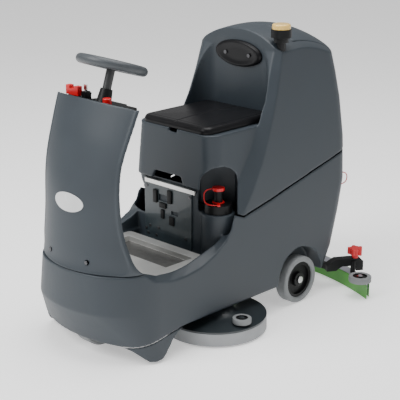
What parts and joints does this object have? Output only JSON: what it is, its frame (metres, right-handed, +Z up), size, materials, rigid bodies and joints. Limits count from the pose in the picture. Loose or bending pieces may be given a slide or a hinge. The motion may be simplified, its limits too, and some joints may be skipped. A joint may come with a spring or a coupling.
{
  "type": "ride-on floor scrubber",
  "caption": "Ride-on floor scrubber-dryer with front cowl and steering wheel, step-through footwell, seat on a tilting recovery tank, twin brush deck and rear squeegee.",
  "frame": {"origin": "on the floor, below the middle of the machine's bounding box", "axes": "+Y to the rear (the front faces -Y), +X to the rider's left, +Z up"},
  "size_m": [1.072, 1.5539, 1.282],
  "materials": {
    "body_plastic": "fine grained rotomoulded polyethylene",
    "dark_plastic": "black moulded plastic",
    "seat_vinyl": "satin black seat skin",
    "stainless": "brushed",
    "steel_frame": "satin black paint",
    "axle_steel": "turned",
    "tyre_grey": "grey non-marking",
    "skirt_grey": "grey",
    "green_blade": "green polyurethane",
    "red_plastic": "glossy red",
    "red_strap": "flexible",
    "amber_lens": "translucent amber",
    "squeegee_metal": "satin",
    "bristle": "nylon bristle",
    "battery_case": "black case",
    "badge_plate": "plain",
    "key_metal": "bright"
  },
  "bodies": {
    "chassis": {"lower_body": "body_plastic", "side_valances": "body_plastic", "front_cowl": "body_plastic", "leg_shield": "body_plastic", "badge": "badge_plate", "dash_panel": "dark_plastic", "switch_housings": "dark_plastic", "foot_plate": "stainless", "electrics_cover": "dark_plastic", "panel_screws": "axle_steel", "support_bar": "stainless", "filler_neck": "dark_plastic", "drain_cap": "dark_plastic", "rear_strap": "red_strap", "chassis_frame": "steel_frame", "rear_axle": "axle_steel", "batteries": "battery_case", "motor_controller": "battery_case"},
    "steering": {"steering_shaft": "steel_frame", "steering_wheel": "dark_plastic"},
    "key": {"key": "key_metal"},
    "isolator": {"isolator_handle": "red_plastic"},
    "toggle": {"toggle_lever": "dark_plastic"},
    "speed": {"speed_knob": "red_plastic"},
    "pedal": {"drive_pedal": "dark_plastic"},
    "drive_unit": {"drive_fork": "steel_frame"},
    "drive_wheel": {"drive_tyre": "tyre_grey", "drive_hub": "dark_plastic"},
    "rear_wheel_left": {"rear_tyre_left": "tyre_grey", "rear_hub_left": "dark_plastic"},
    "rear_wheel_right": {"rear_tyre_right": "tyre_grey", "rear_hub_right": "dark_plastic"},
    "upper_arms": {"deck_upper_arms": "steel_frame"},
    "lower_arms": {"deck_lower_arms": "steel_frame"},
    "deck": {"deck_shell": "dark_plastic", "deck_skirts": "skirt_grey", "brush_motors": "steel_frame"},
    "brush_left": {"brush_left": "bristle"},
    "brush_right": {"brush_right": "bristle"},
    "deck_roller_left": {"deck_roller_left": "tyre_grey"},
    "deck_roller_right": {"deck_roller_right": "tyre_grey"},
    "squeegee_arm": {"squeegee_arm": "steel_frame"},
    "squeegee": {"squeegee_body": "squeegee_metal", "squeegee_blades": "green_blade", "squeegee_bracket": "dark_plastic"},
    "knob_left": {"squeegee_knob_left": "red_plastic"},
    "knob_right": {"squeegee_knob_right": "red_plastic"},
    "squeegee_roller_left": {"squeegee_roller_left": "tyre_grey"},
    "squeegee_roller_right": {"squeegee_roller_right": "tyre_grey"},
    "upper": {"recovery_tank": "body_plastic", "backrest_pad": "seat_vinyl", "backrest_screws": "axle_steel", "beacon_base": "dark_plastic", "beacon_lens": "amber_lens", "vacuum_motor": "battery_case"},
    "lid": {"tank_lid": "body_plastic"},
    "seat": {"seat_pad": "seat_vinyl"},
    "filler_cap": {"filler_cap": "red_plastic", "filler_strap": "red_strap"}
  },
  "joints": [
    {"name": "steer", "type": "hinge", "parent": "chassis", "child": "steering", "pos_m": [0, -0.481, 1.179], "axis": [0, 0.314, 0.9494], "range_deg": [-150, 150]},
    {"name": "drive_yaw", "type": "hinge", "parent": "chassis", "child": "drive_unit", "pos_m": [0, -0.585, 0.308], "axis": [0, 0, 1], "range_deg": [-75, 75]},
    {"name": "drive_spin", "type": "hinge", "parent": "drive_unit", "child": "drive_wheel", "pos_m": [0, -0.585, 0.112], "axis": [1, 0, 0], "continuous": true},
    {"name": "rear_wheel_left_spin", "type": "hinge", "parent": "chassis", "child": "rear_wheel_left", "pos_m": [0.299, 0.348, 0.11], "axis": [1, 0, 0], "continuous": true},
    {"name": "rear_wheel_right_spin", "type": "hinge", "parent": "chassis", "child": "rear_wheel_right", "pos_m": [-0.299, 0.348, 0.11], "axis": [1, 0, 0], "continuous": true},
    {"name": "deck_lift", "type": "hinge", "parent": "chassis", "child": "upper_arms", "pos_m": [0, 0.15, 0.112], "axis": [-1, 0, 0], "range_deg": [0, 7.5]},
    {"name": "deck_lower_link", "type": "hinge", "parent": "chassis", "child": "lower_arms", "pos_m": [0, 0.15, 0.087], "axis": [-1, 0, 0], "range_deg": [0, 7.5]},
    {"name": "deck_level", "type": "hinge", "parent": "upper_arms", "child": "deck", "pos_m": [0, 0, 0.112], "axis": [1, 0, 0], "range_deg": [0, 7.5]},
    {"name": "brush_left_spin", "type": "hinge", "parent": "deck", "child": "brush_left", "pos_m": [0.24, -0.1275, 0.06], "axis": [0, 0, 1], "continuous": true},
    {"name": "brush_right_spin", "type": "hinge", "parent": "deck", "child": "brush_right", "pos_m": [-0.24, -0.1275, 0.06], "axis": [0, 0, 1], "continuous": true},
    {"name": "deck_roller_left_spin", "type": "hinge", "parent": "deck", "child": "deck_roller_left", "pos_m": [0.419, -0.148, 0.092], "axis": [0, 0, 1], "continuous": true},
    {"name": "deck_roller_right_spin", "type": "hinge", "parent": "deck", "child": "deck_roller_right", "pos_m": [-0.419, -0.148, 0.092], "axis": [0, 0, 1], "continuous": true},
    {"name": "squeegee_lift", "type": "hinge", "parent": "chassis", "child": "squeegee_arm", "pos_m": [0, 0.44, 0.124], "axis": [1, 0, 0], "range_deg": [0, 6]},
    {"name": "squeegee_swing", "type": "hinge", "parent": "squeegee_arm", "child": "squeegee", "pos_m": [0, 0.6, 0.12], "axis": [0, 0, 1], "range_deg": [-6, 6]},
    {"name": "knob_left_turn", "type": "hinge", "parent": "squeegee", "child": "knob_left", "pos_m": [0.38, 0.689, 0.17], "axis": [0, 0, 1], "range_deg": [-180, 180]},
    {"name": "knob_right_turn", "type": "hinge", "parent": "squeegee", "child": "knob_right", "pos_m": [-0.38, 0.689, 0.17], "axis": [0, 0, 1], "range_deg": [-180, 180]},
    {"name": "squeegee_roller_left_spin", "type": "hinge", "parent": "squeegee", "child": "squeegee_roller_left", "pos_m": [0.483, 0.594, 0.09], "axis": [0, 0, 1], "continuous": true},
    {"name": "squeegee_roller_right_spin", "type": "hinge", "parent": "squeegee", "child": "squeegee_roller_right", "pos_m": [-0.483, 0.594, 0.09], "axis": [0, 0, 1], "continuous": true},
    {"name": "tank_tilt", "type": "hinge", "parent": "chassis", "child": "upper", "pos_m": [0, 0.745, 0.664], "axis": [-1, 0, 0], "range_deg": [0, 45]},
    {"name": "lid_lift", "type": "slide", "parent": "upper", "child": "lid", "axis": [0, 0, 1], "range_m": [0, 0.15]},
    {"name": "seat_flip", "type": "hinge", "parent": "upper", "child": "seat", "pos_m": [0, 0.284, 0.893], "axis": [-1, 0, 0], "range_deg": [0, 33]},
    {"name": "filler_cap_turn", "type": "hinge", "parent": "chassis", "child": "filler_cap", "pos_m": [0.195, -0.062, 0.6], "axis": [0, 0, 1], "range_deg": [0, 60]},
    {"name": "key_turn", "type": "hinge", "parent": "chassis", "child": "key", "pos_m": [-0.104, -0.534, 1.06], "axis": [0, 0, 1], "range_deg": [-90, 0]},
    {"name": "isolator_turn", "type": "hinge", "parent": "chassis", "child": "isolator", "pos_m": [-0.162, -0.549, 1.04], "axis": [0, 0, 1], "range_deg": [0, 90]},
    {"name": "toggle_flip", "type": "hinge", "parent": "chassis", "child": "toggle", "pos_m": [-0.058, -0.548, 1.034], "axis": [1, 0, 0], "range_deg": [-12, 12]},
    {"name": "speed_turn", "type": "hinge", "parent": "chassis", "child": "speed", "pos_m": [0.064, -0.566, 1.04], "axis": [0, 0, 1], "range_deg": [-135, 135]},
    {"name": "pedal_press", "type": "hinge", "parent": "chassis", "child": "pedal", "pos_m": [0, -0.503, 0.343], "axis": [-1, 0, 0], "range_deg": [-12, 0], "stiffness_Nm_per_rad": 3, "springref_deg": 8.59}
  ],
  "couplings": [
    {"joint": "steer", "follows": "drive_yaw", "ratio": 2},
    {"joint": "deck_lower_link", "follows": "deck_lift", "ratio": 1},
    {"joint": "deck_level", "follows": "deck_lift", "ratio": 1}
  ]
}
